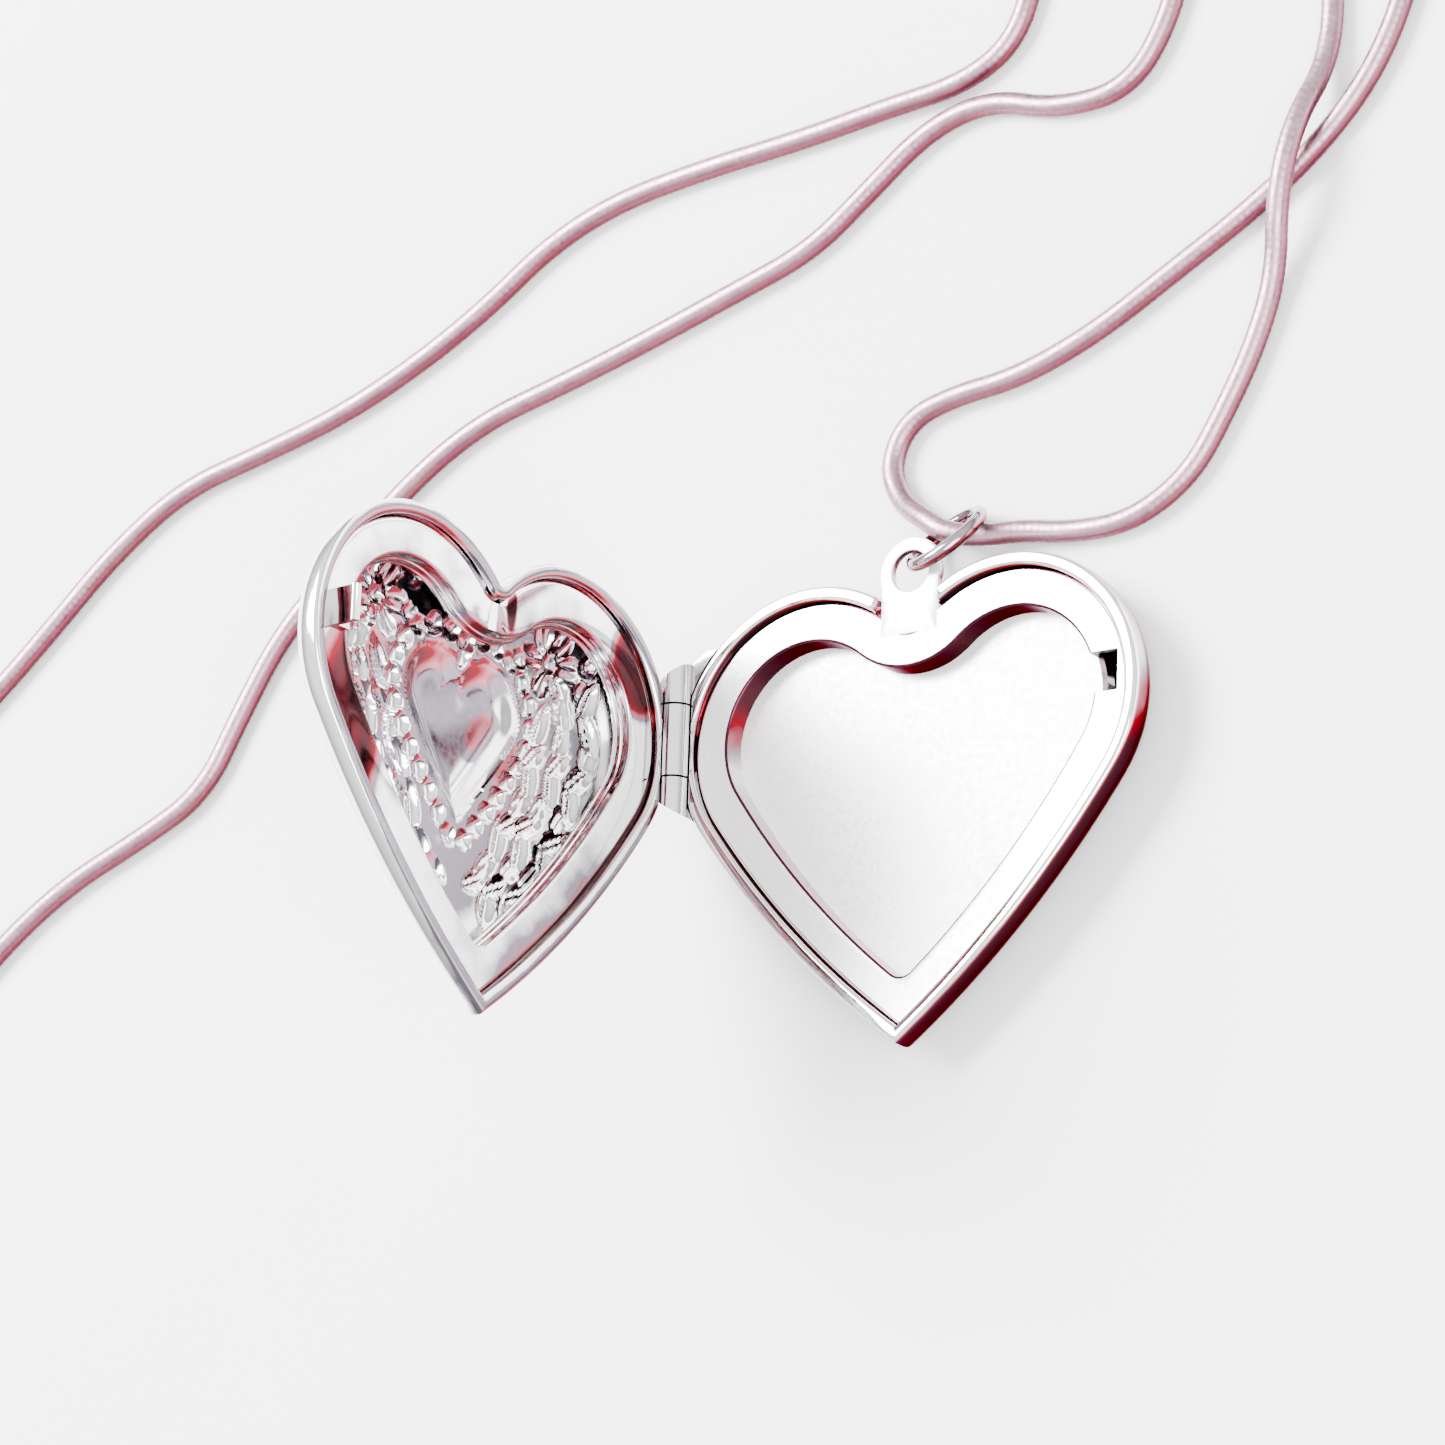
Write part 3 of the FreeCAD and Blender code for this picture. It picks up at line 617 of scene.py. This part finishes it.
# ---- locket halves ---------------------------------------------------------------------------
def to_open_cover(rings):
    """Rings in depth below the shut cover's lip, turned to where the open cover stands."""
    lip = BACK_DEPTH + PARTING
    placed = []
    for points in rings:
        points = off_hinge(points, -PARTING)
        dx = points[:, 0] - HINGE_X
        dz = points[:, 2] + lip - BACK_DEPTH
        x = HINGE_X + dx * math.cos(OPEN_ANGLE) - dz * math.sin(OPEN_ANGLE)
        z = BACK_DEPTH + dx * math.sin(OPEN_ANGLE) + dz * math.cos(OPEN_ANGLE)
        placed.append(np.column_stack([x, points[:, 1], z]))
    return placed


def to_back(rings):
    """Rings in depth below the back's lip, set down on the floor."""
    placed = []
    for points in rings:
        points = off_hinge(points, 0.0)
        placed.append(np.column_stack([points[:, :2], BACK_DEPTH - points[:, 2]]))
    return placed


TAB_HALF = 1.90
TAB_START = 4.3         # where the gap for the tab begins, along y
TAB_BED = 0.84          # depth of the gap's bed below the back's lip


def tab_gap(points):
    """Lower the lip and wall at the cleft to make way for the tab."""
    across, up, depth = points.T
    at_tab = (np.abs(across) < TAB_HALF) & (up > TAB_START) & (depth < TAB_BED)
    lowered = points.copy()
    lowered[at_tab, 2] = TAB_BED
    return lowered


def stand_in(piece, node, body):
    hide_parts(node)
    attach(piece, body)


def add_back_shell():
    rings = pan_rings(BACK_DEPTH, steps=14, count=8, relief=plain)
    rings = to_back([tab_gap(points) for points in rings])
    stand_in(sheet("back_pan", rings, SILVER), "back_shell", "back")


def add_cover_shell():
    rings = pan_rings(COVER_DEPTH, steps=40, count=62, relief=relief)
    stand_in(sheet("cover_pan", to_open_cover(rings), STAMPED), "cover_shell", "cover")


# Cover frame: sloped margin, flange, a rounded window edge and a wall stepped twice
WINDOW_HEART = (4.99, 6.24, -14.20, 0.579, 4.69, 0.10, 0.90)
MARGIN = [(0.59, 0.80), (0.59, 0.63), (0.70, 0.55), (0.92, 0.44), (1.04, 0.42), (1.12, 0.42)]
WINDOW_EDGE = [(-0.20, 0.42), (-0.08, 0.44), (-0.02, 0.50), (0.00, 0.60), (0.00, 0.92),
               (0.04, 0.99), (0.12, 1.02), (0.15, 1.08), (0.15, 1.22), (0.19, 1.28),
               (0.27, 1.31), (0.30, 1.36), (0.28, 1.43), (-0.26, 1.45), (-0.30, 1.40),
               (-0.30, 0.82), (-0.50, 0.80)]
# Narrow ridge across the flange at the cleft
RIDGE_RINGS = slice(4, 8)
RIDGE_HEIGHT = 0.13
RIDGE_WIDTH = 0.34


def add_cover_frame():
    rings = [ring(LIP_HEART, *place) for place in MARGIN]
    rings += [ring(WINDOW_HEART, *place) for place in WINDOW_EDGE]
    for points in rings[RIDGE_RINGS]:
        bulge = np.exp(-(points[:, 0] / RIDGE_WIDTH) ** 2) * (points[:, 1] > 0)
        points[:, 2] -= RIDGE_HEIGHT * bulge
    piece = sheet("cover_rim", to_open_cover(rings), RIM_SILVER, close=True)
    stand_in(piece, "cover_frame", "cover")


# Back frame: margin, flange, window edge and wall, slot for the catch, tab at the cleft
BACK_MARGIN = [(0.47, 0.80), (0.47, 0.63), (0.60, 0.56), (0.86, 0.45), (0.98, 0.42), (1.02, 0.42)]
BACK_WINDOW = [(-0.14, 0.42), (-0.05, 0.44), (0.00, 0.50), (0.00, 1.20), (0.00, 2.05),
               (-0.02, 2.07), (-0.28, 2.07), (-0.30, 2.05), (-0.30, 0.82), (-0.50, 0.80)]
FLANGE_RINGS = 6
SLOT_START = 10.2        # inside the window
SLOT_X = 12.62
SLOT_Y = (-0.35, 1.85)
SLOT_Z = (0.5, 4.5)      # well past the plate on both sides
SLOT_STEP_X = 11.52
SLOT_STEP_Z = 2.08
TAB_Y = 8.05
TAB_R = 1.87
TAB_HOLE_R = 1.12
TAB_NECK = 1.75
TAB_FOOT = 3.45          # from the hole's centre down to where the tab leaves the flange
TAB_STEPS = 240
TAB_EDGE = [(0.00, 0.79), (0.00, 0.49), (0.03, 0.43), (0.08, 0.415)]


def cut_slot(piece):
    """Cut the catch's slot: through the plate, and down to a step over the window's wall."""
    low, high = SLOT_Z
    profile = [(SLOT_START, SLOT_STEP_Z), (SLOT_STEP_X, SLOT_STEP_Z), (SLOT_STEP_X, low),
               (SLOT_X, low), (SLOT_X, high), (SLOT_START, high)]
    count = len(profile)
    vertices = [(x * MM, y * MM, z * MM) for y in SLOT_Y for x, z in profile]
    sides = [(i, (i + 1) % count, count + (i + 1) % count, count + i) for i in range(count)]
    ends = [tuple(range(count))[::-1], tuple(range(count, 2 * count))]
    # The cutter's painted shade goes onto the walls it cuts
    cutter = mesh_object("slot_cutter", vertices, sides + ends, SLOT_SHADE, smooth=False)
    face_outward(cutter)
    cut = piece.modifiers.new("slot", "BOOLEAN")
    cut.operation = "DIFFERENCE"
    cut.solver = "EXACT"
    cut.material_mode = "TRANSFER"
    cut.object = cutter
    bpy.context.view_layer.update()
    evaluated = piece.evaluated_get(bpy.context.evaluated_depsgraph_get())
    result = bpy.data.meshes.new_from_object(evaluated)
    piece.modifiers.remove(cut)
    piece.data = result
    bpy.data.objects.remove(cutter)
    smooth(piece)


def tab_rings():
    """Rings of the tab from its hole's underside, over the top, to its outer underside."""
    angle = np.linspace(0, 2 * math.pi, TAB_STEPS, endpoint=False)
    sine = np.minimum(np.sin(angle), -1e-6)
    neck = np.minimum(TAB_NECK / np.maximum(np.abs(np.cos(angle)), 1e-6), -TAB_FOOT / sine)
    outer = np.where(np.sin(angle) < 0, np.maximum(TAB_R, neck), TAB_R)
    reaches = [(TAB_HOLE_R + edge, depth) for edge, depth in TAB_EDGE]
    reaches += [(outer - edge, depth) for edge, depth in reversed(TAB_EDGE)]
    across, up = np.cos(angle), np.sin(angle)
    height = np.ones(TAB_STEPS)
    return [np.column_stack([reach * across, TAB_Y + reach * up, (BACK_DEPTH - depth) * height])
            for reach, depth in reaches]


def add_back_frame():
    margin = [ring(LIP_HEART, *place) for place in BACK_MARGIN]
    window = [ring(WINDOW_HEART, *place) for place in BACK_WINDOW]
    shares = np.linspace(0, 1, FLANGE_RINGS + 1)[1:-1]
    flange = [margin[-1] * (1 - share) + window[0] * share for share in shares]
    rings = margin + flange + window
    first = len(BACK_MARGIN) - 1
    last = first + FLANGE_RINGS
    # the window's rounded edge gets the painted dark ring of shade
    bands = [(first, last, FLAT_SILVER), (last, last + 2, WINDOW_EDGE_SHADE)]
    piece = sheet("frame_plate", to_back(rings), SILVER, close=True, bands=bands)
    cut_slot(piece)
    stand_in(piece, "back_frame", "back")
    ear = sheet("frame_tab", tab_rings(), FLAT_SILVER, close=True)
    stand_in(ear, "back_frame", "back")


# ---- CAD pieces kept, with their finishes ------------------------------------------------------
def finish_nodes():
    finishes = {name: SILVER for name in frame["nodes"]}
    finishes.update({name: FASTENER for name in FASTENER_NODES})
    finishes["clasp_spring"] = SPRING
    finishes["catch_tongue"] = FASTENER
    finishes["jump_ring"] = RING_SILVER
    finishes["photo_backing"] = FLOOR_SILVER
    for name, material in finishes.items():
        data = frame["nodes"][name].data
        data.materials.clear()
        data.materials.append(material)


# ---- studio --------------------------------------------------------------------------------
def add_floor():
    material, tree, shader = new_material("paper", (0.96, 0.96, 0.96), 0.9)
    grain = noise(tree, 60.0, 4.0)
    tone = ramp(tree, grain, "Fac", [(0.3, (0.95, 0.95, 0.95)), (0.7, (0.97, 0.97, 0.97))])
    link(tree, tone, "Color", shader, "Base Color")
    half = 3.0
    corners = [(-half, -half, 0), (half, -half, 0), (half, half, 0), (-half, half, 0)]
    floor = mesh_object("floor", corners, [(0, 1, 2, 3)], material, smooth=False)


def add_light(name, place, size, power):
    data = bpy.data.lights.new(name, "AREA")
    data.size = size * MM
    data.energy = power
    light = bpy.data.objects.new(name, data)
    light.location = Vector(place) * MM
    light.rotation_euler = (-light.location).to_track_quat("-Z", "Y").to_euler()
    bpy.context.scene.collection.objects.link(light)


def add_world():
    """Soft surroundings: bright overhead, greyer toward the horizon."""
    world = bpy.data.worlds.new("studio")
    world.use_nodes = True
    tree = world.node_tree
    place = tree.nodes.new("ShaderNodeTexCoord")
    split = tree.nodes.new("ShaderNodeSeparateXYZ")
    link(tree, place, "Generated", split, "Vector")
    tone = ramp(tree, split, "Z", [
        (0.02, (0.28, 0.26, 0.27)), (0.25, (0.62, 0.61, 0.62)), (0.55, (1.0, 1.0, 1.0))])
    background = tree.nodes["Background"]
    background.inputs["Strength"].default_value = 1.95
    link(tree, tone, "Color", background, "Color")
    bpy.context.scene.world = world


add_camera()
add_chain()
add_back_shell()
add_cover_shell()
add_cover_frame()
add_back_frame()
finish_nodes()
add_floor()
add_world()
add_light("key", (-270, 170, 380), 260, 11.5)
add_light("fill", (260, -160, 300), 300, 3.4)
